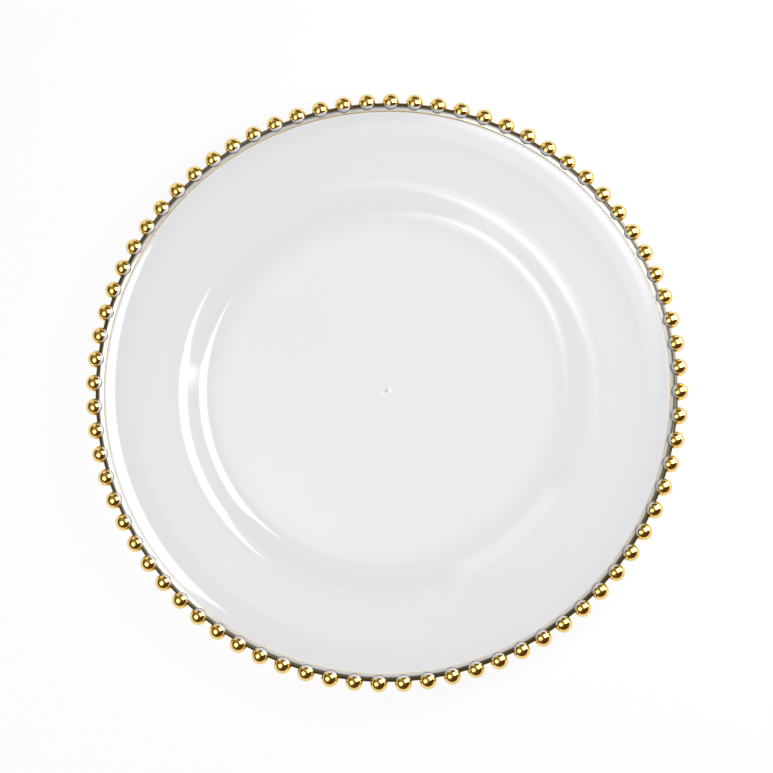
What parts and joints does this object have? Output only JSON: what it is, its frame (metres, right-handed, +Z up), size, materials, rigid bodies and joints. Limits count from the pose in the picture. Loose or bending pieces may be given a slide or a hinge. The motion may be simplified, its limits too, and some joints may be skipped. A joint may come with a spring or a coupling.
{
  "type": "charger plate",
  "caption": "Round clear plastic charger plate with a shallow well, a broad rim, a raised lip and a metallised edge band that carries gold beads.",
  "frame": {"origin": "on the table, under the centre of the plate", "axes": "+Z up along the plate's axis, +X through the centre of a bead"},
  "size_m": [0.33, 0.33, 0.0221],
  "materials": {
    "clear_plastic": "clear, polished",
    "gold_band": "metallised, gold on the outer bevel and silver on the inner slope",
    "gold_beads": "gold metallised, mirror-like, silver on the masked side that faces the plate"
  },
  "bodies": {
    "root": {"plate_body": "clear_plastic", "edge_band": "gold_band", "rim_beads": "gold_beads"}
  },
  "joints": []
}
